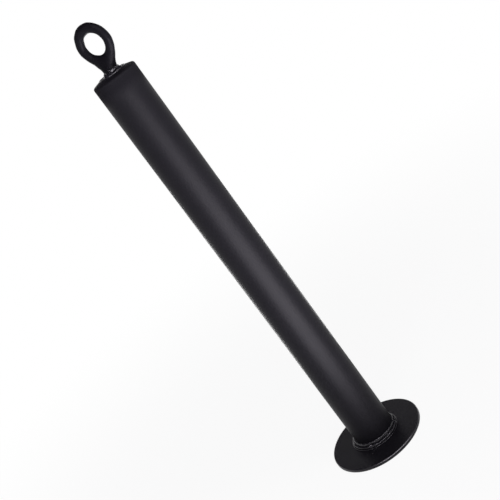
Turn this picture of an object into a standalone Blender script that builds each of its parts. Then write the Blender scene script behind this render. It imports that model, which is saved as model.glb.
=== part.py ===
"""Weight plate pin: a steel tube welded upright on a round plate.

A turned plug closes the tube's upper end and carries a forged lifting eye. Lengths are in metres, +Z is
up, and the origin is the middle of the plate's underside. The eye's ring stands in the XZ plane.
"""

import math

import bmesh
import bpy

# Base plate
PLATE_DIAMETER = 0.110
PLATE_THICKNESS = 0.004
PLATE_EDGE_ROUND = 0.0007

# Post, a 1.9 inch tube that clears the 50 mm bore of a weight plate
POST_DIAMETER = 0.0483
POST_WALL = 0.0032
POST_LENGTH = 0.482
POST_BEVEL = 0.0018  # outer bevel at both ends, which the welds fill
POST_OFFSET = 0.0025  # the post stands this far off the plate's middle, towards +Y, as welded

# End plug
PLUG_RIM = 0.0028  # straight height of the rim, above the tube
PLUG_CORNER = 0.0023
PLUG_SHOULDER_ANGLE = math.radians(19)
PLUG_LAND_DIAMETER = 0.030  # flat in the middle, where the eye is welded on
PLUG_LAND_ROUND = 0.003
PLUG_SPIGOT_LENGTH = 0.010
PLUG_SPIGOT_LEAD = 0.001
ROOT_GAP = 0.0016  # between tube and plug, under the weld

# Forged eye
EYE_HOLE_DIAMETER = 0.0232
EYE_SIDE_SECTION = 0.0088  # ring thickness at its sides, and across the ring's plane
EYE_CROWN_SECTION = 0.0107  # ring thickness at its top
EYE_CENTRE_HEIGHT = 0.0308  # from the plug's land
EYE_NECK_DIAMETER = 0.0156
EYE_NECK_LENGTH = 0.0050  # straight part, from the land up to where it flares into the ring
EYE_FLARE_WIDTH = 0.0225  # in the ring's plane, halfway up the flare
EYE_FLARE_DEPTH = 0.0125  # across the ring's plane, at the same height
EYE_OFFSET = 0.0038  # the ring's middle lies this far off the post's axis, towards +X, as welded
EYE_NECK_OFFSET = 0.0016  # and the neck's middle this far
EYE_FOOT_SPARE = 0.004  # the neck runs this far below the land before its foot is trimmed

# Welds
BASE_WELD_RISE = 0.0072  # up the post
BASE_WELD_REACH = 0.0046  # out over the plate
BASE_WELD_LOPSIDED = 0.0012  # the bead is this much wider on its heavy side
BASE_WELD_HEAVY_SIDE = math.radians(213)
BASE_WELD_STOPS = (math.radians(9), math.radians(273))  # where a run starts or stops
BASE_WELD_STOP_HEIGHT = 0.0009
BASE_WELD_STOP_WIDTH = 0.0022
BASE_WELD_VALLEY = 0.5  # place of the valley between the passes, as a share of both legs
BASE_WELD_SWELL = 0.22  # rise of each pass's face, as a share of its width
EYE_WELD_RISE = 0.0044
EYE_WELD_REACH = 0.0031
EYE_WELD_SWELL = 0.06
RIPPLE_PITCH = 0.0036
RIPPLE_DEPTH = 0.00018
RIPPLE_BOW = 2.2  # how far each ripple's ends trail behind its middle, in radians of the pattern

# Fits
SEAT_GAP = 0.0003  # between faces that meet
SPIGOT_CLEARANCE = 0.0003  # round the spigot, in the tube

# Fineness
TURNED_SEGMENTS = 72
ARC_STEP = math.radians(24)
SECTIONS_PER_RIPPLE = 4
BASE_WELD_PASS_POINTS = 4
EYE_WELD_POINTS = 5
EYE_SPOKES = 16
EYE_SECTION_CORNERS = 8
EYE_SMOOTHING = 2
MERGE_DISTANCE = 0.000001

# Places worked out from the sizes
PLATE_TOP = PLATE_THICKNESS
POST_RADIUS = POST_DIAMETER / 2
POST_FOOT = PLATE_TOP + SEAT_GAP
POST_TOP = POST_FOOT + POST_LENGTH
PLUG_SEAT = POST_TOP + ROOT_GAP
PLUG_SHOULDER_START = POST_RADIUS - PLUG_CORNER * (1 - math.sin(PLUG_SHOULDER_ANGLE))
PLUG_SHOULDER_RUN = PLUG_SHOULDER_START - PLUG_LAND_DIAMETER / 2
PLUG_RISE = PLUG_CORNER * math.cos(PLUG_SHOULDER_ANGLE) + PLUG_SHOULDER_RUN * math.tan(PLUG_SHOULDER_ANGLE)
PLUG_LAND = PLUG_SEAT + PLUG_RIM + PLUG_RISE

EYE_RING_BOTTOM = EYE_CENTRE_HEIGHT - EYE_HOLE_DIAMETER / 2 - EYE_SIDE_SECTION

EYE_NECK_SET = EYE_NECK_OFFSET - EYE_OFFSET

# Height, set along X, width and depth of the loops that shape the eye's neck, down to below its foot
EYE_NECK_LOOPS = (
    (EYE_RING_BOTTOM, EYE_NECK_SET / 2, EYE_FLARE_WIDTH, EYE_FLARE_DEPTH),
    (EYE_NECK_LENGTH, EYE_NECK_SET, EYE_NECK_DIAMETER, EYE_NECK_DIAMETER),
    (EYE_NECK_LENGTH / 2, EYE_NECK_SET, EYE_NECK_DIAMETER, EYE_NECK_DIAMETER),
    (-EYE_FOOT_SPARE, EYE_NECK_SET, EYE_NECK_DIAMETER, EYE_NECK_DIAMETER),
)


def clear_scene():
    for thing in list(bpy.data.objects):
        bpy.data.objects.remove(thing, do_unlink=True)


def coating(name, colour, roughness):
    """A baked black powder coat over steel."""
    material = bpy.data.materials.new(name)
    material.use_nodes = True
    shader = material.node_tree.nodes["Principled BSDF"]
    shader.inputs["Base Color"].default_value = (*colour, 1.0)
    shader.inputs["Roughness"].default_value = roughness
    shader.inputs["Metallic"].default_value = 0.0
    material.diffuse_color = (*colour, 1.0)
    return material


def place(name, mesh, location=(0, 0, 0), parent=None):
    """Put a mesh into the scene under its node's name."""
    piece = bpy.data.objects.new(name, mesh)
    bpy.context.scene.collection.objects.link(piece)
    piece.location = location
    piece.parent = parent
    return piece


def mesh_of(name, work, material, edge_angle=math.radians(30)):
    """Close a bmesh into a mesh whose faces point outwards, smooth but for edges over the angle."""
    bmesh.ops.recalc_face_normals(work, faces=work.faces)
    mesh = bpy.data.meshes.new(name)
    work.to_mesh(mesh)
    work.free()
    mesh.shade_smooth()
    mesh.set_sharp_from_angle(angle=edge_angle)
    mesh.materials.append(material)
    return mesh


def arc(radius, height, size, start, end):
    """Points of a round, by its middle and the angles that it runs between."""
    steps = max(1, math.ceil(abs(end - start) / ARC_STEP))
    angles = [start + (end - start) * step / steps for step in range(steps + 1)]
    return [(radius + size * math.cos(a), height + size * math.sin(a)) for a in angles]


def turned(name, outline, material):
    """A turned piece. Its outline of (radius, height) is closed, or starts and ends on the axis."""
    work = bmesh.new()
    points = [work.verts.new((radius, 0, height)) for radius, height in outline]
    edges = [work.edges.new(pair) for pair in zip(points, points[1:])]
    if outline[0][0] > 0:
        edges.append(work.edges.new((points[-1], points[0])))
    bmesh.ops.spin(
        work,
        geom=points + edges,
        cent=(0, 0, 0),
        axis=(0, 0, 1),
        angle=math.tau,
        steps=TURNED_SEGMENTS,
        use_merge=True,
    )
    bmesh.ops.remove_doubles(work, verts=work.verts, dist=MERGE_DISTANCE)
    return mesh_of(name, work, material)


def base_plate():
    """A disc with a small round along both edges."""
    inner = PLATE_DIAMETER / 2 - PLATE_EDGE_ROUND
    low = PLATE_EDGE_ROUND
    high = PLATE_THICKNESS - PLATE_EDGE_ROUND
    outline = [(0, 0)]
    outline += arc(inner, low, PLATE_EDGE_ROUND, -math.pi / 2, 0)
    outline += arc(inner, high, PLATE_EDGE_ROUND, 0, math.pi / 2)
    outline += [(0, PLATE_THICKNESS)]
    mesh = turned("base_plate", outline, coating("coat_plate", (0.018, 0.018, 0.021), 0.48))
    return place("base_plate", mesh)


def post_tube(axis):
    """The tube, open at both ends, with a bevel at each for its weld."""
    bore = POST_RADIUS - POST_WALL
    outline = [
        (bore, 0),
        (POST_RADIUS - POST_BEVEL, 0),
        (POST_RADIUS, POST_BEVEL),
        (POST_RADIUS, POST_LENGTH - POST_BEVEL),
        (POST_RADIUS - POST_BEVEL, POST_LENGTH),
        (bore, POST_LENGTH),
    ]
    mesh = turned("post_tube", outline, coating("coat_post", (0.020, 0.019, 0.023), 0.45))
    return place("post_tube", mesh, (0, 0, POST_FOOT), axis)


def end_plug(axis):
    """The turned plug. Its height 0 is the underside of its rim."""
    spigot = POST_RADIUS - POST_WALL - SPIGOT_CLEARANCE
    land = PLUG_LAND_DIAMETER / 2
    upright = math.pi / 2
    slope = upright - PLUG_SHOULDER_ANGLE
    # The round between shoulder and land touches both this far from their corner.
    tangent = PLUG_LAND_ROUND * math.tan(PLUG_SHOULDER_ANGLE / 2)
    outline = [
        (0, -PLUG_SPIGOT_LENGTH),
        (spigot - PLUG_SPIGOT_LEAD, -PLUG_SPIGOT_LENGTH),
        (spigot, PLUG_SPIGOT_LEAD - PLUG_SPIGOT_LENGTH),
        (spigot, 0),
        (POST_RADIUS - POST_BEVEL, 0),
        (POST_RADIUS, POST_BEVEL),
    ]
    outline += arc(POST_RADIUS - PLUG_CORNER, PLUG_RIM, PLUG_CORNER, 0, slope)
    outline += arc(land - tangent, PLUG_RIM + PLUG_RISE - PLUG_LAND_ROUND, PLUG_LAND_ROUND, slope, upright)
    outline += [(0, PLUG_RIM + PLUG_RISE)]
    mesh = turned("end_plug", outline, coating("coat_plug", (0.020, 0.019, 0.023), 0.45))
    return place("end_plug", mesh, (0, 0, PLUG_SEAT), axis)


def plug_weld(axis):
    """The butt weld between tube and plug, ground flush. Its height 0 is the middle of the gap."""
    slant = SEAT_GAP * math.sqrt(2)
    face = ROOT_GAP / 2 + POST_BEVEL - slant
    root = ROOT_GAP / 2 - SEAT_GAP
    mouth = POST_RADIUS - POST_BEVEL + slant - SEAT_GAP
    inner = POST_RADIUS - POST_WALL
    outline = [
        (inner, -root),
        (mouth, -root),
        (POST_RADIUS, -face),
        (POST_RADIUS, face),
        (mouth, root),
        (inner, root),
    ]
    mesh = turned("plug_weld", outline, coating("coat_plug_weld", (0.020, 0.019, 0.023), 0.46))
    return place("plug_weld", mesh, (0, 0, POST_TOP + ROOT_GAP / 2), axis)


def limit_share(corners):
    """How far out a subdivided ring of this many corners ends, as a share of its corners' distance."""
    return (2 + math.cos(math.tau / corners)) / 3


def eye_ring(work):
    """The ring of the eye's cage: loops of corners, the first at the bottom, beside the neck."""
    side = EYE_SIDE_SECTION / 2
    crown = EYE_CROWN_SECTION / 2
    round_ring = limit_share(EYE_SPOKES)
    round_section = limit_share(EYE_SECTION_CORNERS)
    loops = []
    for spoke in range(EYE_SPOKES):
        turn = math.tau * spoke / EYE_SPOKES - math.pi / 2
        radial = side + (crown - side) * max(0, math.sin(turn)) ** 2
        middle = EYE_HOLE_DIAMETER / 2 + radial
        loop = []
        for corner in range(EYE_SECTION_CORNERS):
            roll = math.tau * corner / EYE_SECTION_CORNERS
            reach = (middle + radial / round_section * math.cos(roll)) / round_ring
            across = side / round_section * math.sin(roll)
            height = EYE_CENTRE_HEIGHT + reach * math.sin(turn)
            loop.append(work.verts.new((reach * math.cos(turn), across, height)))
        loops.append(loop)
    return loops


def around(corner):
    """The corner's angle round the Z axis, from +X."""
    return math.atan2(corner.co.y, corner.co.x)


def eye_neck(work, patch):
    """Extrude the patch under the ring down into a round neck that ends below the seat."""
    for height, shift, width, depth in EYE_NECK_LOOPS:
        grown = bmesh.ops.extrude_face_region(work, geom=patch)["geom"]
        bmesh.ops.delete(work, geom=patch, context="FACES")
        patch = [thing for thing in grown if isinstance(thing, bmesh.types.BMFace)]
        inside = set(patch)
        edges = {edge for face in patch for edge in face.edges}
        edges = {edge for edge in edges if len(inside.intersection(edge.link_faces)) == 1}
        rim = sorted({corner for edge in edges for corner in edge.verts}, key=around)
        # The corner nearest to +X starts the count, so that the loop isn't twisted.
        start = min(range(len(rim)), key=lambda index: abs(around(rim[index])))
        share = limit_share(len(rim))
        for corner in {corner for face in patch for corner in face.verts}:
            corner.co.z = height
        for index, corner in enumerate(rim[start:] + rim[:start]):
            turn = math.tau * index / len(rim)
            corner.co.x = width / 2 / share * math.cos(turn) + shift
            corner.co.y = depth / 2 / share * math.sin(turn)


def lifting_eye(axis):
    """The forged eye, shaped from a cage and trimmed flat where it meets the plug's land."""
    work = bmesh.new()
    loops = eye_ring(work)
    under = []
    outward = (0, 1, EYE_SECTION_CORNERS - 2, EYE_SECTION_CORNERS - 1)
    lowest = (0, 1, EYE_SPOKES - 2, EYE_SPOKES - 1)
    for spoke in range(EYE_SPOKES):
        near, far = loops[spoke], loops[(spoke + 1) % EYE_SPOKES]
        for corner in range(EYE_SECTION_CORNERS):
            after = (corner + 1) % EYE_SECTION_CORNERS
            face = work.faces.new((near[corner], near[after], far[after], far[corner]))
            if spoke in lowest and corner in outward:
                under.append(face)
    eye_neck(work, under)
    mesh = mesh_of("lifting_eye", work, coating("coat_eye", (0.019, 0.018, 0.021), 0.42), math.pi)
    piece = place("lifting_eye", mesh, (EYE_OFFSET, 0, PLUG_LAND), axis)
    smoothing = piece.modifiers.new("smoothing", "SUBSURF")
    smoothing.levels = EYE_SMOOTHING
    smoothing.render_levels = EYE_SMOOTHING
    trim = piece.modifiers.new("trim", "BOOLEAN")
    trim.operation = "DIFFERENCE"
    trim.object = foot_cutter(axis)
    return piece


def foot_cutter(axis):
    """A block whose top is the seat that the eye's foot is cut to."""
    size = 2 * (EYE_NECK_DIAMETER + EYE_FOOT_SPARE)
    work = bmesh.new()
    bmesh.ops.create_cube(work, size=size)
    mesh = bpy.data.meshes.new("foot_cutter")
    work.to_mesh(mesh)
    work.free()
    cutter = place("foot_cutter", mesh, (EYE_NECK_OFFSET, 0, PLUG_LAND + SEAT_GAP - size / 2), axis)
    cutter.hide_render = True
    cutter.display_type = "WIRE"
    return cutter


def bead(name, sections, material):
    """A closed bead through the sections, each a loop of points, in order round the joint."""
    work = bmesh.new()
    loops = [[work.verts.new(point) for point in section] for section in sections]
    for loop, following in zip(loops, loops[1:] + loops[:1]):
        for first, second in zip(range(len(loop)), [*range(1, len(loop)), 0]):
            work.faces.new((loop[first], loop[second], following[second], following[first]))
    return mesh_of(name, work, material)


def lobe(near, far, swell, phase, points, proud=0.0):
    """Points from near to far, both (radius, height), over a rippled lobe. The far end is left out."""
    length = math.hypot(far[0] - near[0], far[1] - near[1])
    normal = ((near[1] - far[1]) / length, (far[0] - near[0]) / length)
    outline = []
    for point in range(points):
        along = point / points
        ripple = RIPPLE_DEPTH * math.cos(phase + RIPPLE_BOW * (2 * along - 1) ** 2)
        lift = (swell * length + ripple + proud) * math.sin(math.pi * along)
        outline.append((
            near[0] + (far[0] - near[0]) * along + lift * normal[0],
            near[1] + (far[1] - near[1]) * along + lift * normal[1],
        ))
    return outline


def rounds(radius):
    """The angle of each section round a bead, and how far through its ripple the section lies."""
    count = round(math.tau * radius / RIPPLE_PITCH)
    total = count * SECTIONS_PER_RIPPLE
    return [(math.tau * step / total, math.tau * step / SECTIONS_PER_RIPPLE) for step in range(total)]


def base_weld(axis):
    """Two passes round the post's foot, one on top of the other. Its height 0 is the plate's top."""
    inner = POST_RADIUS + SEAT_GAP
    top = (inner, BASE_WELD_RISE)
    sections = []
    for turn, phase in rounds(POST_RADIUS + BASE_WELD_REACH / 2):
        reach = BASE_WELD_REACH + BASE_WELD_LOPSIDED * math.cos(turn - BASE_WELD_HEAVY_SIDE)
        valley = (inner + BASE_WELD_VALLEY * reach, BASE_WELD_VALLEY * BASE_WELD_RISE)
        toe = (POST_RADIUS + reach, SEAT_GAP)
        proud = max(stop_height(turn - where) for where in BASE_WELD_STOPS)
        outline = lobe(top, valley, BASE_WELD_SWELL, phase, BASE_WELD_PASS_POINTS, proud)
        outline += lobe(valley, toe, BASE_WELD_SWELL, phase + math.pi / 2, BASE_WELD_PASS_POINTS, proud)
        outline += [toe, (inner, SEAT_GAP)]
        sections.append([(r * math.cos(turn), r * math.sin(turn), z) for r, z in outline])
    mesh = bead("base_weld", sections, coating("coat_base_weld", (0.021, 0.020, 0.024), 0.40))
    return place("base_weld", mesh, (0, 0, PLATE_TOP), axis)


def stop_height(turn):
    """How far a run's end stands proud, by the angle from it."""
    nearest = (turn + math.pi) % math.tau - math.pi
    return BASE_WELD_STOP_HEIGHT * math.exp(-((nearest * POST_RADIUS / BASE_WELD_STOP_WIDTH) ** 2))


def eye_weld(axis):
    """A small fillet round the neck's foot. Its height 0 is the plug's land."""
    inner = EYE_NECK_DIAMETER / 2 + SEAT_GAP
    sections = []
    toe = (inner + EYE_WELD_REACH, SEAT_GAP)
    for turn, phase in rounds(inner + EYE_WELD_REACH / 2):
        outline = lobe((inner, EYE_WELD_RISE), toe, EYE_WELD_SWELL, phase, EYE_WELD_POINTS)
        outline += [toe, (inner, SEAT_GAP)]
        sections.append([(r * math.cos(turn), r * math.sin(turn), z) for r, z in outline])
    mesh = bead("eye_weld", sections, coating("coat_eye_weld", (0.021, 0.020, 0.024), 0.40))
    return place("eye_weld", mesh, (EYE_NECK_OFFSET, 0, PLUG_LAND), axis)


def main():
    clear_scene()
    axis = place("post_axis", None, (0, POST_OFFSET, 0))
    base_plate()
    post_tube(axis)
    end_plug(axis)
    lifting_eye(axis)
    base_weld(axis)
    plug_weld(axis)
    eye_weld(axis)


main()
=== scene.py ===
"""Weight plate pin: a powder-coated steel tube on a round plate, with a forged eye to hang it by.

The solid parts give the main sizes and places. Each piece here, spatter apart, is the coated surface of
one of them, modelled fine enough for close views. Lengths are in metres, +Z is up, and the pin stands on
the floor at Z = 0.
"""

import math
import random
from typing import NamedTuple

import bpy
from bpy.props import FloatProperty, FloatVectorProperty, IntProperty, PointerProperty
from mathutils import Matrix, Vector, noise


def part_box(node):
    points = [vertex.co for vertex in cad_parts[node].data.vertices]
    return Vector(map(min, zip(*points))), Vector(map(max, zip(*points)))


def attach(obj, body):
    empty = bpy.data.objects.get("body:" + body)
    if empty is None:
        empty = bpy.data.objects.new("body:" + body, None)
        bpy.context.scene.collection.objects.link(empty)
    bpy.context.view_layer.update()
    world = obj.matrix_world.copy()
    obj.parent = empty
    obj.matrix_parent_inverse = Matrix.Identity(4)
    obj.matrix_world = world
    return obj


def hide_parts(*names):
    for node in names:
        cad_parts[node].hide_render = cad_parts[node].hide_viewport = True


bl_info = {
    "name": "Weight Plate Pin",
    "version": (1, 0, 0),
    "blender": (4, 5, 0),
    "location": "View3D > Sidebar > Plate Pin",
    "description": "Models a powder-coated weight plate pin and its studio",
    "category": "Object",
}

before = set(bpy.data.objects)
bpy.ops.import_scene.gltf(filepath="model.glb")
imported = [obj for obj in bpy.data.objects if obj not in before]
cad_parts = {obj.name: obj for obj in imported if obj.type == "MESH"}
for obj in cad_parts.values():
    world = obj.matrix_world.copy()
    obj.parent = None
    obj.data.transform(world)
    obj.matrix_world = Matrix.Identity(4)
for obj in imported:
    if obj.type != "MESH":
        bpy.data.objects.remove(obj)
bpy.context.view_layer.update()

MM = 0.001

PLATE_LOW, PLATE_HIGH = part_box("base_plate")
POST_LOW, POST_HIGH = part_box("post_tube")
PLUG_LOW, PLUG_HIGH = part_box("end_plug")
EYE_LOW, EYE_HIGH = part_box("lifting_eye")
EYE_WELD_LOW, EYE_WELD_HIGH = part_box("eye_weld")

PLATE_AXIS = (PLATE_LOW + PLATE_HIGH) / 2
POST_AXIS = (POST_LOW + POST_HIGH) / 2
EYE_WELD_AXIS = (EYE_WELD_LOW + EYE_WELD_HIGH) / 2
PLATE_RADIUS = (PLATE_HIGH.x - PLATE_LOW.x) / 2
POST_RADIUS = (POST_HIGH.x - POST_LOW.x) / 2
EYE_WELD_RADIUS = (EYE_WELD_HIGH.x - EYE_WELD_LOW.x) / 2
PLATE_TOP = PLATE_HIGH.z
PLUG_LAND = PLUG_HIGH.z

# The eye's ring is as wide as its box, so its middle lies half that width below its crown.
RING_MIDDLE = (EYE_LOW + EYE_HIGH) / 2
RING_MIDDLE.z = EYE_HIGH.z - (EYE_HIGH.x - EYE_LOW.x) / 2

# The weld between post and plug is ground flush, and the steel is sanded this far down and up from it.
SANDED_POST = 18 * MM
SANDED_PLUG = 8 * MM
SANDED_RINGS = 12

# A filed edge is flat at 45 degrees, and its coat rounds off this share of it on either side.
EDGE_SOFTNESS = 0.3
EDGE_STEPS = 3

# Turning left a lip round the plug's land. It is this proud of it, this wide, and rounded on its back.
LIP_PROUD = 0.25 * MM
LIP_WIDTH = 1.2 * MM
LIP_ROUND = 0.3 * MM
LIP_STEPS = 6

# Facets along the round between the plug's rim and shoulder.
CORNER_STEPS = 10

# The ends of a closed outline are merged within this distance.
OUTLINE_SEAM = 0.001 * MM

# Faces that meet at less than these angles are shaded as one.
SMOOTH_TURNED = math.radians(35)
SMOOTH_ROUNDED = math.radians(60)
SMOOTH_FILLET = math.radians(80)


def linear(code):
    """An sRGB hex colour as linear red, green and blue."""
    channels = [int(code[place : place + 2], 16) / 255 for place in (1, 3, 5)]
    return tuple(c / 12.92 if c <= 0.04045 else ((c + 0.055) / 1.055) ** 2.4 for c in channels)


def clamped(value):
    """The value, held between 0 and 1."""
    return min(1.0, max(0.0, value))


class PinSizes(bpy.types.PropertyGroup):
    """Sizes of the pin's edges, rounds and welds"""

    plate_edge: FloatProperty(
        name="Plate edge",
        description="Width of the filed edges of the plate",
        default=0.7 * MM,
        unit="LENGTH",
    )
    tube_wall: FloatProperty(
        name="Tube wall",
        description="Wall of the post",
        default=3.2 * MM,
        unit="LENGTH",
    )
    groove: FloatProperty(
        name="Weld groove",
        description="Bevel on tube and plug, which their weld fills",
        default=1.8 * MM,
        unit="LENGTH",
    )
    root_gap: FloatProperty(
        name="Root gap",
        description="Gap between tube and plug under the weld",
        default=1.6 * MM,
        unit="LENGTH",
    )
    plug_rim: FloatProperty(
        name="Plug rim",
        description="Height of the plug's straight rim over its seat",
        default=2.8 * MM,
        unit="LENGTH",
    )
    plug_corner: FloatProperty(
        name="Plug corner",
        description="Round between the plug's rim and shoulder",
        default=2.3 * MM,
        unit="LENGTH",
    )
    shoulder: FloatProperty(
        name="Shoulder",
        description="Slope of the plug's shoulder",
        default=math.radians(19),
        subtype="ANGLE",
    )
    land: FloatProperty(
        name="Land",
        description="Width of the flat that the eye stands on",
        default=30 * MM,
        unit="LENGTH",
    )
    lip: FloatProperty(
        name="Lip",
        description="Height of the turned lip over the shoulder",
        default=0.7 * MM,
        unit="LENGTH",
    )
    weld_rise: FloatProperty(
        name="Foot weld rise",
        description="Leg of the foot weld up the post",
        default=7.0 * MM,
        unit="LENGTH",
    )
    weld_reach: FloatProperty(
        name="Foot weld reach",
        description="Mean leg of the foot weld over the plate",
        default=4.5 * MM,
        unit="LENGTH",
    )
    weld_lopsided: FloatProperty(
        name="Lopsided",
        description="How much further the foot weld reaches on its heavy side",
        default=1.1 * MM,
        unit="LENGTH",
    )
    weld_pass: FloatProperty(
        name="Pass height",
        description="How proud each pass stands of the foot weld's face",
        default=1.3 * MM,
        unit="LENGTH",
    )
    weld_hollow: FloatProperty(
        name="Hollow",
        description="How hollow the foot weld's face is between its legs",
        default=0.45 * MM,
        unit="LENGTH",
    )
    neck_rise: FloatProperty(
        name="Neck weld rise",
        description="Leg of the neck's weld up the neck",
        default=4.2 * MM,
        unit="LENGTH",
    )
    neck_reach: FloatProperty(
        name="Neck weld reach",
        description="Leg of the neck's weld over the land",
        default=3.1 * MM,
        unit="LENGTH",
    )
    ripple: FloatProperty(
        name="Ripple pitch",
        description="Distance between the foot weld's ripples",
        default=1.7 * MM,
        unit="LENGTH",
    )
    ripple_height: FloatProperty(
        name="Ripple height",
        description="Height of the foot weld's ripples",
        default=0.05 * MM,
        unit="LENGTH",
    )
    stop: FloatProperty(
        name="Stops",
        description="Height of the lumps where a pass starts or stops",
        default=0.8 * MM,
        unit="LENGTH",
    )
    spatter: IntProperty(
        name="Spatter",
        description="Beads of spatter beside the foot weld",
        default=9,
    )
    spatter_size: FloatProperty(
        name="Spatter size",
        description="Radius of the largest bead of spatter",
        default=0.6 * MM,
        unit="LENGTH",
    )
    dents: FloatProperty(
        name="Forging dents",
        description="Depth of the eye's dents",
        default=0.35 * MM,
        unit="LENGTH",
    )
    scale: FloatProperty(
        name="Forging scale",
        description="Height of the scale on the eye",
        default=0.05 * MM,
        unit="LENGTH",
    )
    flash: FloatProperty(
        name="Flash",
        description="Height of the trimmed flash round the eye",
        default=0.16 * MM,
        unit="LENGTH",
    )
    segments: IntProperty(
        name="Segments",
        description="Facets round each turned piece",
        default=192,
    )
    weld_segments: IntProperty(
        name="Weld segments",
        description="Sections round the foot weld, and twice those round the neck's",
        default=768,
    )


class PinFinish(bpy.types.PropertyGroup):
    """Colour and surface of the powder coat"""

    coat: FloatVectorProperty(
        name="Coat",
        description="Colour of the coat",
        subtype="COLOR",
        size=3,
        default=linear("#0E0D11"),
    )
    roughness: FloatProperty(
        name="Roughness",
        description="Roughness of the coat on smooth steel",
        default=0.47,
        subtype="FACTOR",
    )
    dull: FloatProperty(
        name="Dull roughness",
        description="Roughness of the coat over sanded steel",
        default=1.0,
        subtype="FACTOR",
    )
    specular: FloatProperty(
        name="Specular",
        description="Specular level of the coat, low as it is matted",
        default=0.107,
        subtype="FACTOR",
    )
    peel: FloatProperty(
        name="Orange peel",
        description="Width of the coat's orange peel",
        default=2.4 * MM,
        unit="LENGTH",
    )
    grain: FloatProperty(
        name="Grain",
        description="Width of the coat's fine grain",
        default=0.7 * MM,
        unit="LENGTH",
    )


class PinStage(bpy.types.PropertyGroup):
    """Camera and light"""

    azimuth: FloatProperty(
        name="Azimuth",
        description="Direction that the camera stands in",
        default=math.radians(37),
        subtype="ANGLE",
    )
    distance: FloatProperty(
        name="Distance",
        description="Camera's distance from the pin, over the floor",
        default=0.95,
        unit="LENGTH",
    )
    height: FloatProperty(
        name="Height",
        description="Camera's height",
        default=0.59,
        unit="LENGTH",
    )
    pitch: FloatProperty(
        name="Pitch",
        description="How far the camera looks down",
        default=math.radians(18.75),
        subtype="ANGLE",
    )
    yaw: FloatProperty(
        name="Yaw",
        description="How far the camera looks past the pin",
        default=math.radians(-0.49),
        subtype="ANGLE",
    )
    roll: FloatProperty(
        name="Roll",
        description="Turn of the picture",
        default=math.radians(-36.23),
        subtype="ANGLE",
    )
    lens: FloatProperty(
        name="Lens",
        description="Focal length in millimetres",
        default=69.65,
    )
    key: FloatProperty(
        name="Key",
        description="Power of the strip softbox above",
        default=28.0,
        unit="POWER",
    )
    panel: FloatProperty(
        name="Panel",
        description="Power of the low panel in front",
        default=49.0,
        unit="POWER",
    )
    fill: FloatProperty(
        name="Fill",
        description="Power of the low panel behind",
        default=22.0,
        unit="POWER",
    )


def add(tree, kind, settings=None, links=None):
    """A node with its settings, and with values or other nodes' outputs on its inputs."""
    made = tree.nodes.new(kind)
    for name, value in (settings or {}).items():
        setattr(made, name, value)
    for name, source in (links or {}).items():
        if isinstance(source, bpy.types.NodeSocket):
            tree.links.new(source, made.inputs[name])
        else:
            made.inputs[name].default_value = source
    return made


# Places of a Mix node's sockets, which share their names: its inputs A and B and its output.
COLOUR_A, COLOUR_B, COLOUR_OUT = 6, 7, 2
VALUE_A, VALUE_B, VALUE_OUT = 2, 3, 0

# The coat's colour and roughness vary by these, in clouds this wide.
CLOUD_WIDTH = 14 * MM
CLOUD_COLOUR = 0.14
CLOUD_ROUGHNESS = 0.03

# What the coat mirrors leans a little towards violet.
COAT_MIRROR = linear("#F9F4FE")


class CoatState(NamedTuple):
    """How the coat came out on one kind of steel.

    It says what is added to the roughness, what the specular level is multiplied by, and how high the
    orange peel and the grain stand.
    """

    rougher: float
    shinier: float
    peel: float
    grain: float


COAT_STATES = {
    # Drawn and turned steel: an even satin.
    "powder_coat": CoatState(rougher=0.0, shinier=1.0, peel=0.1 * MM, grain=0.07 * MM),
    # The plate's flat faces: powder settles thicker there, and melts glossier.
    "powder_coat_plate": CoatState(rougher=-0.03, shinier=2.35, peel=0.11 * MM, grain=0.06 * MM),
    # Forged steel: the scale under the coat shows through as coarse waves, and the coat mirrors less.
    "powder_coat_forged": CoatState(rougher=-0.05, shinier=1 / 2.3, peel=0.24 * MM, grain=0.13 * MM),
    # Weld metal: the coat flows smooth over its beads.
    "powder_coat_weld": CoatState(rougher=-0.28, shinier=4.3, peel=0.0, grain=0.015 * MM),
    # Edges: the coat draws thin over them, and dries smooth and glossy.
    "powder_coat_edge": CoatState(rougher=-0.17, shinier=7.0, peel=0.0, grain=0.0),
}


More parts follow.
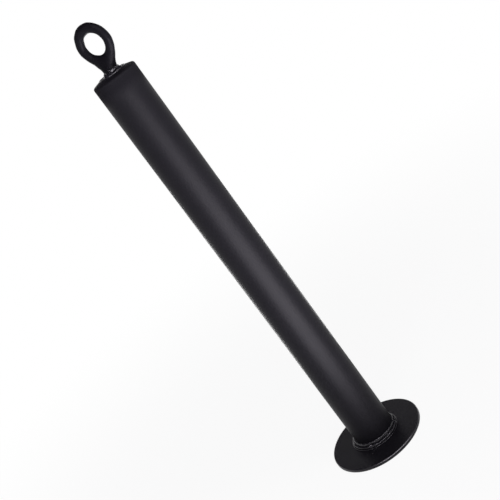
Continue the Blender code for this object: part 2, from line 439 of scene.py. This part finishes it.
def powder_coat(kind, finish):
    """Baked black polyester powder coat, made once for each kind of steel.

    It is sprayed on dry and melted, so that it flows into a satin skin. Orange peel breaks the edges of
    highlights, and a finer grain widens them. The grain is near 0.2 mm on the real coat, and is drawn
    coarser so that it shows. Over sanded steel it stays dull, as the points' attribute says.
    """
    name = "baked_" + kind
    made = bpy.data.materials.get(name)
    if made:
        return made
    state = COAT_STATES[kind]
    material = bpy.data.materials.new(name)
    material.use_nodes = True
    tree = material.node_tree
    shader = tree.nodes["Principled BSDF"]
    place = add(tree, "ShaderNodeTexCoord").outputs["Object"]

    cloud = add(
        tree,
        "ShaderNodeTexNoise",
        None,
        {"Vector": place, "Scale": 1 / CLOUD_WIDTH, "Detail": 3.0},
    )
    colour = add(
        tree,
        "ShaderNodeMix",
        {"data_type": "RGBA"},
        {
            "Factor": cloud.outputs["Fac"],
            COLOUR_A: tuple(channel * (1 - CLOUD_COLOUR) for channel in finish.coat) + (1.0,),
            COLOUR_B: tuple(channel * (1 + CLOUD_COLOUR) for channel in finish.coat) + (1.0,),
        },
    )
    tree.links.new(colour.outputs[COLOUR_OUT], shader.inputs["Base Color"])

    roughness = finish.roughness + state.rougher
    satin = add(
        tree,
        "ShaderNodeMapRange",
        None,
        {
            "Value": cloud.outputs["Fac"],
            "To Min": roughness - CLOUD_ROUGHNESS,
            "To Max": roughness + CLOUD_ROUGHNESS,
        },
    )
    sanded = add(tree, "ShaderNodeAttribute", {"attribute_name": "sanded"})
    mixed = add(
        tree,
        "ShaderNodeMix",
        None,
        {"Factor": sanded.outputs["Fac"], VALUE_A: satin.outputs["Result"], VALUE_B: finish.dull},
    )
    tree.links.new(mixed.outputs[VALUE_OUT], shader.inputs["Roughness"])

    peel = add(
        tree,
        "ShaderNodeTexNoise",
        None,
        {"Vector": place, "Scale": 1 / finish.peel, "Detail": 1.0},
    )
    grain = add(
        tree,
        "ShaderNodeTexNoise",
        None,
        {"Vector": place, "Scale": 1 / finish.grain, "Detail": 2.0},
    )
    waves = add(
        tree,
        "ShaderNodeBump",
        None,
        {"Strength": 1.0, "Distance": state.peel, "Height": peel.outputs["Fac"]},
    )
    bumps = add(
        tree,
        "ShaderNodeBump",
        None,
        {
            "Strength": 1.0,
            "Distance": state.grain,
            "Height": grain.outputs["Fac"],
            "Normal": waves.outputs["Normal"],
        },
    )
    tree.links.new(bumps.outputs["Normal"], shader.inputs["Normal"])
    shader.inputs["Metallic"].default_value = 0.0
    shader.inputs["IOR"].default_value = 1.5
    shader.inputs["Specular IOR Level"].default_value = finish.specular * state.shinier
    shader.inputs["Specular Tint"].default_value = (*COAT_MIRROR, 1.0)
    return material


def deselect():
    """Nothing selected, in object mode."""
    if bpy.context.object and bpy.context.object.mode != "OBJECT":
        bpy.ops.object.mode_set(mode="OBJECT")
    bpy.ops.object.select_all(action="DESELECT")


def rest_at_origin(piece):
    """The piece's object at the world's origin, with its place in its mesh."""
    deselect()
    piece.select_set(True)
    bpy.context.view_layer.objects.active = piece
    bpy.ops.object.transform_apply(location=True, rotation=True, scale=True)


def mark_sanded(piece):
    """How much of the sanding reaches each of the piece's points, from 0 to 1, for its coat to read."""
    seat = POST_HIGH.z + bpy.context.scene.pin_sizes.root_gap
    shares = []
    for point in piece.data.vertices:
        below = (POST_HIGH.z - point.co.z) / SANDED_POST
        above = (point.co.z - seat) / SANDED_PLUG
        share = clamped(1 - max(below, above))
        shares.append(share * share * (3 - 2 * share))
    piece.data.attributes.new("sanded", "FLOAT", "POINT").data.foreach_set("value", shares)


def gloss_edge(piece, axis, low, high, level):
    """The edge's glossier coat on faces whose middle lies between two radii and above a level."""
    piece.data.materials.append(powder_coat("powder_coat_edge", bpy.context.scene.pin_finish))
    for face in piece.data.polygons:
        radius = math.hypot(face.center.x - axis.x, face.center.y - axis.y)
        face.material_index = int(low < radius < high and face.center.z > level)


def finish_piece(piece, name, slot, nodes=(), smooth=SMOOTH_TURNED, kind=None):
    """Name, finish and place of a piece, which then stands for its nodes."""
    piece.name = name
    piece.data.name = name
    rest_at_origin(piece)
    bpy.ops.object.shade_smooth_by_angle(angle=smooth, keep_sharp_edges=False)
    piece.data.materials.clear()
    piece.data.materials.append(powder_coat(kind or slot, bpy.context.scene.pin_finish))
    if nodes:
        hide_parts(*nodes)
    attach(piece, "root")


def arc(radius, height, size, start, end, steps):
    """Points of a round, by its middle and the angles that it runs between."""
    angles = [start + (end - start) * step / steps for step in range(steps + 1)]
    return [(radius + size * math.cos(a), height + size * math.sin(a)) for a in angles]


def broken_edge(radius, height, size, side):
    """Points of an edge that was filed at 45 degrees and softened by its coat, from its face to its rim."""
    soft = size * EDGE_SOFTNESS
    face, slope, rim = side * math.pi / 2, side * math.pi / 4, 0
    points = arc(radius, height + side * (size - soft), soft, face, slope, EDGE_STEPS)
    points += arc(radius + size - soft, height, soft, slope, rim, EDGE_STEPS)
    return points


def turned(axis, outline, segments):
    """A turned piece: a circle, extruded and scaled ring by ring through the outline of (radius, height).

    A ring of no radius closes the piece on its axis. An outline that returns to its start makes a tube.
    """
    deselect()
    radius, height = outline[0]
    bpy.ops.mesh.primitive_circle_add(
        vertices=segments, radius=radius, fill_type="NOTHING", location=(axis.x, axis.y, height)
    )
    piece = bpy.context.object
    bpy.ops.object.mode_set(mode="EDIT")
    bpy.ops.mesh.select_all(action="SELECT")
    for following, level in outline[1:]:
        bpy.ops.mesh.extrude_region_move(TRANSFORM_OT_translate={"value": (0, 0, level - height)})
        if following:
            share = following / radius
            bpy.ops.transform.resize(value=(share, share, 1), center_override=(axis.x, axis.y, level))
        else:
            bpy.ops.mesh.merge(type="CENTER")
        radius, height = following, level
    if outline[0] == outline[-1]:
        bpy.ops.mesh.select_all(action="SELECT")
        bpy.ops.mesh.remove_doubles(threshold=OUTLINE_SEAM)
    else:
        bpy.ops.mesh.select_all(action="DESELECT")
        bpy.ops.mesh.select_non_manifold()
        bpy.ops.mesh.extrude_region_move()
        bpy.ops.mesh.merge(type="CENTER")
    bpy.ops.mesh.select_all(action="SELECT")
    bpy.ops.mesh.normals_make_consistent(inside=False)
    rest_at_origin(piece)
    return piece


class PIN_OT_plate(bpy.types.Operator):
    """Round base plate with filed edges"""

    bl_idname = "pin.plate"
    bl_label = "Base Plate"

    def execute(self, context):
        sizes = context.scene.pin_sizes
        edge = sizes.plate_edge
        inner = PLATE_RADIUS - edge
        # A ring beside the edge on each face keeps the flat's shading flat.
        support = inner - edge
        outline = [(support, PLATE_LOW.z)]
        outline += broken_edge(inner, PLATE_LOW.z + edge, edge, -1)
        outline += broken_edge(inner, PLATE_TOP - edge, edge, 1)[::-1]
        outline += [(support, PLATE_TOP), (POST_RADIUS, PLATE_TOP), (0, PLATE_TOP)]
        piece = turned(PLATE_AXIS, outline, sizes.segments)
        finish_piece(piece, "coated_plate", "powder_coat", ["base_plate"], kind="powder_coat_plate")
        gloss_edge(piece, PLATE_AXIS, inner, PLATE_RADIUS, PLATE_TOP - edge)
        return {"FINISHED"}


class PIN_OT_post(bpy.types.Operator):
    """Drawn tube, with the ground weld that joins it to the plug"""

    bl_idname = "pin.post"
    bl_label = "Post"

    def execute(self, context):
        sizes = context.scene.pin_sizes
        bore = POST_RADIUS - sizes.tube_wall
        groove = POST_RADIUS - sizes.groove
        top = POST_HIGH.z
        low = top - SANDED_POST
        reach = SANDED_POST - sizes.groove
        outline = [(bore, PLATE_TOP), (POST_RADIUS, PLATE_TOP)]
        # Rings along the sanded end carry its fade.
        outline += [(POST_RADIUS, low + reach * ring / SANDED_RINGS) for ring in range(SANDED_RINGS + 1)]
        outline += [(groove, top), (bore, top), (bore, PLATE_TOP)]
        piece = turned(POST_AXIS, outline, sizes.segments)
        mark_sanded(piece)
        finish_piece(piece, "coated_post", "powder_coat", ["post_tube"])

        seat = top + sizes.root_gap
        outline = [
            (bore, top),
            (groove, top),
            (POST_RADIUS, top - sizes.groove),
            (POST_RADIUS, seat + sizes.groove),
            (groove, seat),
            (bore, seat),
            (bore, top),
        ]
        piece = turned(POST_AXIS, outline, sizes.segments)
        mark_sanded(piece)
        finish_piece(piece, "ground_plug_weld", "powder_coat", ["plug_weld"])
        return {"FINISHED"}


class PIN_OT_plug(bpy.types.Operator):
    """Turned plug with a sloped shoulder, and a flat land inside a thin lip"""

    bl_idname = "pin.plug"
    bl_label = "End Plug"

    def execute(self, context):
        sizes = context.scene.pin_sizes
        upright = math.pi / 2
        inward = math.pi
        slope = upright - sizes.shoulder
        spigot = POST_RADIUS - sizes.tube_wall
        seat = POST_HIGH.z + sizes.root_gap
        land = sizes.land / 2
        top = PLUG_LAND + LIP_PROUD
        outline = [
            (spigot, PLUG_LOW.z),
            (spigot, seat),
            (POST_RADIUS - sizes.groove, seat),
            (POST_RADIUS, seat + sizes.groove),
        ]
        corner = sizes.plug_corner
        outline += arc(POST_RADIUS - corner, seat + sizes.plug_rim, corner, 0, slope, CORNER_STEPS)
        outline += [(land + LIP_ROUND, top - sizes.lip)]
        outline += arc(land - LIP_ROUND, top - LIP_ROUND, LIP_ROUND, 0, upright, LIP_STEPS)
        outline += arc(land - 2 * LIP_ROUND, top - LIP_ROUND, LIP_ROUND, upright, inward, LIP_STEPS)
        inner = land - LIP_WIDTH
        outline += [(inner, PLUG_LAND), (land / 2, PLUG_LAND), (0, PLUG_LAND)]
        piece = turned(POST_AXIS, outline, sizes.segments)
        mark_sanded(piece)
        finish_piece(piece, "coated_plug", "powder_coat", ["end_plug"])
        gloss_edge(piece, POST_AXIS, inner, land + LIP_ROUND, PLUG_LAND - LIP_ROUND)
        return {"FINISHED"}


# Widths of the eye's dents, of its scale, and of the flash that was trimmed off round its outside.
DENT_WIDTH = 6 * MM
SCALE_WIDTH = 1.5 * MM
FLASH_WIDTH = 0.7 * MM

# Flash is on faces that point this much outwards. The neck is smooth this far above its weld.
FLASH_FACING = 0.5
SMOOTH_NECK = 4 * MM

# The solid eye's loose triangles are merged within this distance, and then smoothed this many times.
FACET_SEAM = 0.002 * MM
EYE_SMOOTHING = 2


def forged(place, normal, sizes):
    """How far forging moved a point of the eye: dents, scale, and the flash round its outside."""
    amount = sizes.dents * noise.noise(place / DENT_WIDTH) + sizes.scale * noise.noise(place / SCALE_WIDTH)
    away = place - RING_MIDDLE
    outward = Vector((away.x, 0, away.z)).normalized()
    if normal.dot(outward) > FLASH_FACING:
        amount += sizes.flash * math.exp(-((away.y / FLASH_WIDTH) ** 2))
    return normal * amount * clamped((place.z - PLUG_LAND - sizes.neck_rise) / SMOOTH_NECK)


class PIN_OT_eye(bpy.types.Operator):
    """Forged lifting eye, on a neck that is welded to the plug"""

    bl_idname = "pin.eye"
    bl_label = "Lifting Eye"

    def execute(self, context):
        sizes = context.scene.pin_sizes
        deselect()
        piece = bpy.data.objects.new("coated_eye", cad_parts["lifting_eye"].data.copy())
        context.scene.collection.objects.link(piece)
        piece.select_set(True)
        context.view_layer.objects.active = piece
        bpy.ops.object.mode_set(mode="EDIT")
        bpy.ops.mesh.select_all(action="SELECT")
        bpy.ops.mesh.remove_doubles(threshold=FACET_SEAM)
        bpy.ops.mesh.tris_convert_to_quads()
        bpy.ops.object.mode_set(mode="OBJECT")
        smoothing = piece.modifiers.new("smoothing", "SUBSURF")
        smoothing.levels = EYE_SMOOTHING
        smoothing.render_levels = EYE_SMOOTHING
        bpy.ops.object.modifier_apply(modifier="smoothing")
        moves = [forged(point.co, point.normal, sizes) for point in piece.data.vertices]
        for point, move in zip(piece.data.vertices, moves):
            point.co += move
        finish_piece(piece, "coated_eye", "powder_coat_forged", ["lifting_eye"], SMOOTH_ROUNDED)
        return {"FINISHED"}


# A fillet weld starts as a blank, whose face is a plain slope this wide and high, so that each point's
# share of the way down it can be read. Points this little inside the slope are still on it. The blank's
# root lies this far under its corner.
BLANK = 1 * MM
FACE_SLACK = 0.01
ROOT_DEPTH = 0.1 * MM


class Corner(NamedTuple):
    """The corner that a fillet weld fills, round an axis, a radius from it and at a level."""

    axis: Vector
    radius: float
    level: float


class Uneven(NamedTuple):
    """A value that wanders along a weld: its mean, how far it strays, its waves' length and its seed."""

    mean: float
    stray: float
    wave: float
    seed: float

    def at(self, turn, radius):
        """The value at a turn round a weld of the given radius."""
        reach = radius / self.wave
        place = Vector((reach * math.cos(turn), reach * math.sin(turn), self.seed))
        return self.mean + self.stray * noise.noise(place)


def blank_fillet(corner, root, rows, segments):
    """A blank fillet, with its face in rows and its root this far behind its corner."""
    radius, level = corner.radius, corner.level
    outline = [(radius + BLANK * row / rows, level + BLANK - BLANK * row / rows) for row in range(rows + 1)]
    outline += [(radius - root, level - ROOT_DEPTH), outline[0]]
    return turned(corner.axis, outline, segments)


def face_points(piece, corner):
    """Each point of a blank's face, with its place off the axis, its turn and its share of the way down."""
    for point in piece.data.vertices:
        across = Vector((point.co.x - corner.axis.x, point.co.y - corner.axis.y))
        share = (across.length - corner.radius) / BLANK
        if share >= -FACE_SLACK:
            yield point, across, math.atan2(across.y, across.x), clamped(share)


def lay(point, corner, turn, share, legs, lift):
    """Lays a point at its share of the way down the face between two legs, and lifts it square to that."""
    rise, reach = legs
    length = math.hypot(reach, rise)
    away = corner.radius + max(reach * share + lift * rise / length, 0.0)
    point.co.x = corner.axis.x + away * math.cos(turn)
    point.co.y = corner.axis.y + away * math.sin(turn)
    point.co.z = corner.level + max(rise * (1 - share) + lift * reach / length, 0.0)


def lumps(across, share, length, width):
    """A smooth value between about -1 and 1, for lumps of this width on a face of this length."""
    return noise.noise(Vector((across.x, across.y, share * length)) / width)


# The foot weld is heaviest towards one side, and its passes start or stop in two places, as on the solid.
HEAVY_SIDE = math.radians(213)
STOPS = (math.radians(9), math.radians(273))

# A stop is a lump this wide, with a crater beside it.
STOP_WIDTH = 1.6 * MM
CRATER_AWAY = 2.6 * MM
CRATER_WIDTH = 1.1 * MM

# The foot weld's rows and root, and how far its edges stray on the plate and up the post.
FOOT_ROWS = 60
FOOT_ROOT = 0.1 * MM
FOOT_TOE = Uneven(mean=0.0, stray=0.25 * MM, wave=9 * MM, seed=1.3)
FOOT_HEAD = Uneven(mean=0.0, stray=0.3 * MM, wave=8 * MM, seed=4.1)

# The shares of its face at which its first two passes end, what their height is multiplied by, and how
# far their ripples stray from an even beat.
FIRST_END = Uneven(mean=0.42, stray=0.09, wave=8 * MM, seed=7.7)
SECOND_END = Uneven(mean=0.8, stray=0.05, wave=9 * MM, seed=9.2)
FOOT_SWELL = Uneven(mean=1.0, stray=0.35, wave=5 * MM, seed=12.6)
FOOT_BEAT = Uneven(mean=0.0, stray=2.5, wave=10 * MM, seed=3.3)

# Lumps along its upper edge: their height and width, and the length that their pattern gives its face.
FOOT_LUMPS = 0.25 * MM
FOOT_LUMP_WIDTH = 1.8 * MM
FOOT_LUMP_FACE = 5 * MM


class WeldPass(NamedTuple):
    """A pass: its height and its ripples' height and pace as shares of the weld's, and where they start."""

    height: float
    ripple: float
    pace: float
    turn: float


# The passes, from the post outwards.
PASSES = (
    WeldPass(height=0.9, ripple=1.4, pace=0.8, turn=0.0),
    WeldPass(height=1.2, ripple=0.6, pace=1.1, turn=2.0),
    WeldPass(height=0.7, ripple=0.4, pace=1.3, turn=4.0),
)

# Their paces are in tenths, so ripples counted in tens close on themselves in every pass.
RIPPLE_STEP = 10

# A ripple is bowed: it comes this many radians earlier at a pass's edges than along its middle.
RIPPLE_BOW = 1.5


def pass_lift(share, ends, swell, ripple, beat):
    """How proud the foot weld's face stands at a share of the way down it, on its passes' round backs."""
    low = 0.0
    for weld_pass, high in zip(PASSES, ends):
        if share <= high:
            side = 2 * max(0.0, (share - low) / (high - low)) - 1
            back = math.sqrt(max(0.0, 1 - side**2))
            wave = math.cos(beat * weld_pass.pace + weld_pass.turn + RIPPLE_BOW * side**2)
            return (swell * weld_pass.height + ripple * weld_pass.ripple * wave) * back
        low = high
    return 0.0


def stop_lift(turn, height):
    """How far the foot weld rises or falls at a turn, beside the places where a pass starts or stops."""
    lift = 0.0
    for stop in STOPS:
        away = ((turn - stop + math.pi) % math.tau - math.pi) * POST_RADIUS
        lift += height * math.exp(-((away / STOP_WIDTH) ** 2))
        lift -= height * math.exp(-(((away - CRATER_AWAY) / CRATER_WIDTH) ** 2))
    return lift


class PIN_OT_foot_weld(bpy.types.Operator):
    """Fillet weld in three passes round the post's foot"""

    bl_idname = "pin.foot_weld"
    bl_label = "Foot Weld"

    def execute(self, context):
        sizes = context.scene.pin_sizes
        corner = Corner(POST_AXIS, POST_RADIUS, PLATE_TOP)
        piece = blank_fillet(corner, FOOT_ROOT, FOOT_ROWS, sizes.weld_segments)
        middle = POST_RADIUS + sizes.weld_reach / 2
        ripples = round(math.tau * middle / sizes.ripple / RIPPLE_STEP) * RIPPLE_STEP
        for point, across, turn, share in face_points(piece, corner):
            reach = sizes.weld_reach + sizes.weld_lopsided * math.cos(turn - HEAVY_SIDE)
            legs = (sizes.weld_rise + FOOT_HEAD.at(turn, middle), reach + FOOT_TOE.at(turn, middle))
            ends = (FIRST_END.at(turn, middle), SECOND_END.at(turn, middle), 1.0)
            swell = sizes.weld_pass * FOOT_SWELL.at(turn, middle)
            beat = turn * ripples + FOOT_BEAT.at(turn, middle)
            lift = pass_lift(share, ends, swell, sizes.ripple_height, beat)
            lift += (stop_lift(turn, sizes.stop) - sizes.weld_hollow) * math.sin(math.pi * share)
            lift += FOOT_LUMPS * lumps(across, share, FOOT_LUMP_FACE, FOOT_LUMP_WIDTH) * (1 - share)
            lay(point, corner, turn, share, legs, lift)
        finish_piece(piece, "coated_foot_weld", "powder_coat_weld", ["base_weld"], SMOOTH_FILLET)
        return {"FINISHED"}


# Spatter lies in front of a stop, round this direction, and up to this far from the weld.
SPATTER_SIDE = math.radians(276)
SPATTER_SPREAD = math.radians(14)
SPATTER_REACH = 9 * MM
SPATTER_SEED = 5

# The smallest bead beside the largest, and how far a bead was drawn out and flattened as it struck. Its
# middle stands this share of its size above the plate.
SMALLEST_BEAD = 0.5
BEAD_STRETCH = (0.8, 1.3)
BEAD_FLATTENED = 0.6
BEAD_RAISED = 0.1


class PIN_OT_spatter(bpy.types.Operator):
    """Beads of weld metal that stuck to the plate beside the foot weld"""

    bl_idname = "pin.spatter"
    bl_label = "Spatter"

    def execute(self, context):
        sizes = context.scene.pin_sizes
        draw = random.Random(SPATTER_SEED)
        toe = POST_RADIUS + sizes.weld_reach + sizes.spatter_size
        deselect()
        beads = []
        for bead in range(sizes.spatter):
            turn = SPATTER_SIDE + draw.uniform(-SPATTER_SPREAD, SPATTER_SPREAD)
            away = toe + draw.uniform(0, SPATTER_REACH)
            size = sizes.spatter_size * draw.uniform(SMALLEST_BEAD, 1.0)
            height = PLATE_TOP + size * BEAD_RAISED
            place = (POST_AXIS.x + away * math.cos(turn), POST_AXIS.y + away * math.sin(turn), height)
            bpy.ops.mesh.primitive_uv_sphere_add(segments=24, ring_count=12, radius=size, location=place)
            beads.append(context.object)
            bpy.ops.object.mode_set(mode="EDIT")
            bpy.ops.mesh.select_all(action="SELECT")
            shape = (draw.uniform(*BEAD_STRETCH), 1, BEAD_FLATTENED)
            bpy.ops.transform.resize(value=shape, center_override=place)
            turn = draw.uniform(0, math.pi)
            bpy.ops.transform.rotate(value=turn, orient_axis="Z", center_override=place)
            bpy.ops.object.mode_set(mode="OBJECT")
        for bead in beads:
            bead.select_set(True)
        bpy.ops.object.join()
        finish_piece(context.object, "weld_spatter", "powder_coat_weld", smooth=SMOOTH_ROUNDED)
        return {"FINISHED"}


# The neck weld's rows and root, and its edges on the land and up the neck, as shares of its legs.
NECK_ROWS = 26
NECK_ROOT = 0.5 * MM
NECK_TOE = Uneven(mean=0.88, stray=0.16, wave=5 * MM, seed=2.2)
NECK_HEAD = Uneven(mean=0.9, stray=0.3, wave=3.5 * MM, seed=6.4)

# Its lumps, how hollow its face is beside its length, and how far it is sunk into the neck.
NECK_LUMPS = 0.9 * MM
NECK_LUMP_WIDTH = 2.4 * MM
NECK_LUMP_FACE = 3 * MM
NECK_HOLLOW = 0.08
NECK_SUNK = 0.05 * MM


class PIN_OT_neck_weld(bpy.types.Operator):
    """Small lumpy fillet weld round the neck's foot"""

    bl_idname = "pin.neck_weld"
    bl_label = "Neck Weld"

    def execute(self, context):
        sizes = context.scene.pin_sizes
        neck = EYE_WELD_RADIUS - sizes.neck_reach
        corner = Corner(EYE_WELD_AXIS, neck, PLUG_LAND)
        sunk = corner._replace(radius=neck - NECK_SUNK)
        piece = blank_fillet(corner, NECK_ROOT, NECK_ROWS, sizes.weld_segments // 2)
        for point, across, turn, share in face_points(piece, corner):
            reach = sizes.neck_reach * NECK_TOE.at(turn, neck)
            rise = sizes.neck_rise * NECK_HEAD.at(turn, neck)
            lift = NECK_LUMPS * lumps(across, share, NECK_LUMP_FACE, NECK_LUMP_WIDTH)
            lift = (lift - NECK_HOLLOW * math.hypot(reach, rise)) * math.sin(math.pi * share)
            lay(point, sunk, turn, share, (rise, reach), lift)
        finish_piece(piece, "coated_neck_weld", "powder_coat_weld", ["eye_weld"], SMOOTH_FILLET)
        return {"FINISHED"}


# Width of the studio's floor and ceiling, and the ceiling's height.
ROOM = 12
CEILING = 2.6

# Near the pin this share of the floor's look is plain white. It grows between these distances, past which
# all of it is white.
FLOOR_WHITE = 0.9
FADE_START = 0.2
FADE_END = 1.0

# What is seen and mirrored round the pin is white, at a strength of 1. Elsewhere its light is this strong.
WHITE = (1.0, 1.0, 1.0, 1.0)
DIM_WORLD = 0.3

# The strip softbox above: its direction from the pin, its distance and its height, and its size.
KEY_PLACE = (math.radians(52), 1.1, 1.6)
KEY_SIZE = (2.8, 0.2)

# The low panels' distance from the pin, their height, their width and length, and the directions that
# they lie in.
PANEL_DISTANCE = 1.12
PANEL_HEIGHT = 0.01
PANEL_SIZE = (0.9, 1.9)
FRONT = math.radians(47.5)
BEHIND = math.radians(221)

# The camera sees nothing nearer than this.
NEAREST = 0.01


def seen_rays(tree):
    """1 on rays that see or mirror the surroundings, and 0 on those that carry their light."""
    path = add(tree, "ShaderNodeLightPath")
    seen = add(
        tree,
        "ShaderNodeMath",
        {"operation": "MAXIMUM"},
        {0: path.outputs["Is Camera Ray"], 1: path.outputs["Is Glossy Ray"]},
    )
    seen = add(
        tree,
        "ShaderNodeMath",
        {"operation": "MAXIMUM"},
        {0: seen.outputs[0], 1: path.outputs["Is Transmission Ray"]},
    )
    return seen.outputs[0]


def floor_material():
    """Matt white floor. It keeps the pin's soft shadow, and fades into the white surroundings far out."""
    material = bpy.data.materials.new("studio_floor")
    material.use_nodes = True
    tree = material.node_tree
    tree.nodes.clear()
    matt = add(tree, "ShaderNodeBsdfDiffuse", None, {"Color": (*linear("#F2F2F2"), 1.0)})
    white = add(tree, "ShaderNodeEmission", None, {"Color": WHITE, "Strength": 1.0})
    place = add(tree, "ShaderNodeTexCoord").outputs["Object"]
    away = add(tree, "ShaderNodeVectorMath", {"operation": "LENGTH"}, {0: place})
    fade = add(
        tree,
        "ShaderNodeMapRange",
        {"interpolation_type": "SMOOTHSTEP"},
        {
            "Value": away.outputs["Value"],
            "From Min": FADE_START,
            "From Max": FADE_END,
            "To Min": FLOOR_WHITE,
            "To Max": 1.0,
        },
    )
    share = add(
        tree,
        "ShaderNodeMath",
        {"operation": "MULTIPLY"},
        {0: seen_rays(tree), 1: fade.outputs["Result"]},
    )
    mix = add(
        tree,
        "ShaderNodeMixShader",
        None,
        {"Fac": share.outputs[0], 1: matt.outputs["BSDF"], 2: white.outputs["Emission"]},
    )
    add(tree, "ShaderNodeOutputMaterial", None, {"Surface": mix.outputs[0]})
    return material


def ceiling_material():
    """Grey paint of the studio's ceiling, which upward faces mirror."""
    material = bpy.data.materials.new("studio_ceiling")
    material.use_nodes = True
    tree = material.node_tree
    tree.nodes.clear()
    paint = add(tree, "ShaderNodeBsdfDiffuse", None, {"Color": (*linear("#87828E"), 1.0)})
    add(tree, "ShaderNodeOutputMaterial", None, {"Surface": paint.outputs["BSDF"]})
    return material


def white_world():
    """White surroundings for what is seen and mirrored, and a plain fill for the rest."""
    world = bpy.data.worlds.new("studio")
    world.use_nodes = True
    tree = world.node_tree
    tree.nodes.clear()
    strength = add(
        tree, "ShaderNodeMapRange", None, {"Value": seen_rays(tree), "To Min": DIM_WORLD, "To Max": 1.0}
    )
    back = add(
        tree,
        "ShaderNodeBackground",
        None,
        {"Color": WHITE, "Strength": strength.outputs["Result"]},
    )
    add(tree, "ShaderNodeOutputWorld", None, {"Surface": back.outputs[0]})
    bpy.context.scene.world = world


def round_the_pin(azimuth, distance, height):
    """A place by its direction from the pin, as the camera's is given."""
    return Vector((math.sin(azimuth) * distance, -math.cos(azimuth) * distance, height))


def studio_plane(name, height, material):
    """A wide level plane of the studio, which isn't part of the pin."""
    deselect()
    bpy.ops.mesh.primitive_plane_add(size=ROOM, location=(0, 0, height))
    plane = bpy.context.object
    plane.name = name
    plane.data.materials.append(material)
    return plane


def softbox(name, shape, size, power, place, rotation):
    """A lit panel that the camera doesn't see."""
    light = bpy.data.lights.new(name, "AREA")
    light.shape = shape
    light.size, light.size_y = size
    light.energy = power
    made = bpy.data.objects.new(name, light)
    bpy.context.scene.collection.objects.link(made)
    made.location = place
    made.rotation_euler = rotation
    made.visible_camera = False


def floor_panel(name, power, azimuth):
    """A lit panel that lies on the floor and faces up, with its length along the way to the pin."""
    place = round_the_pin(azimuth, PANEL_DISTANCE, PANEL_HEIGHT)
    softbox(name, "ELLIPSE", PANEL_SIZE, power, place, (math.pi, 0, azimuth))


class PIN_OT_stage(bpy.types.Operator):
    """White floor, softboxes and camera"""

    bl_idname = "pin.stage"
    bl_label = "Stage"

    def execute(self, context):
        stage = context.scene.pin_stage
        studio_plane("floor", 0, floor_material())
        ceiling = studio_plane("ceiling", CEILING, ceiling_material())
        ceiling.visible_camera = False
        white_world()
        place = round_the_pin(*KEY_PLACE)
        aim = (Vector((0, 0, POST_HIGH.z / 2)) - place).to_track_quat("-Z", "Y").to_euler()
        softbox("key", "RECTANGLE", KEY_SIZE, stage.key, place, aim)
        floor_panel("panel", stage.panel, FRONT)
        floor_panel("fill", stage.fill, BEHIND)

        view = bpy.data.cameras.new("camera")
        view.lens = stage.lens
        view.clip_start = NEAREST
        camera = bpy.data.objects.new("camera", view)
        context.scene.collection.objects.link(camera)
        turn = stage.azimuth + stage.yaw
        back = round_the_pin(turn, math.cos(stage.pitch), math.sin(stage.pitch))
        side = Vector((math.cos(turn), math.sin(turn), 0))
        level = Matrix((side, back.cross(side), back)).transposed()
        place = round_the_pin(stage.azimuth, stage.distance, stage.height)
        rolled = level @ Matrix.Rotation(stage.roll, 3, "Z")
        camera.matrix_world = Matrix.Translation(place) @ rolled.to_4x4()
        context.scene.camera = camera
        context.scene.view_settings.view_transform = "Standard"
        return {"FINISHED"}


OPERATORS = (
    PIN_OT_plate,
    PIN_OT_post,
    PIN_OT_plug,
    PIN_OT_eye,
    PIN_OT_foot_weld,
    PIN_OT_spatter,
    PIN_OT_neck_weld,
    PIN_OT_stage,
)


class VIEW3D_PT_plate_pin(bpy.types.Panel):
    """The pin's pieces and studio"""

    bl_label = "Plate Pin"
    bl_space_type = "VIEW_3D"
    bl_region_type = "UI"
    bl_category = "Plate Pin"

    def draw(self, context):
        for operator in OPERATORS:
            self.layout.operator(operator.bl_idname)
        for group in (context.scene.pin_sizes, context.scene.pin_finish, context.scene.pin_stage):
            for name in group.__annotations__:
                self.layout.prop(group, name)


CLASSES = (PinSizes, PinFinish, PinStage, *OPERATORS, VIEW3D_PT_plate_pin)


def register():
    for kind in CLASSES:
        bpy.utils.register_class(kind)
    bpy.types.Scene.pin_sizes = PointerProperty(type=PinSizes)
    bpy.types.Scene.pin_finish = PointerProperty(type=PinFinish)
    bpy.types.Scene.pin_stage = PointerProperty(type=PinStage)


def unregister():
    del bpy.types.Scene.pin_stage
    del bpy.types.Scene.pin_finish
    del bpy.types.Scene.pin_sizes
    for kind in reversed(CLASSES):
        bpy.utils.unregister_class(kind)


def main():
    register()
    bpy.ops.pin.plate()
    bpy.ops.pin.post()
    bpy.ops.pin.plug()
    bpy.ops.pin.eye()
    bpy.ops.pin.foot_weld()
    bpy.ops.pin.spatter()
    bpy.ops.pin.neck_weld()
    bpy.ops.pin.stage()


if __name__ == "__main__":
    main()
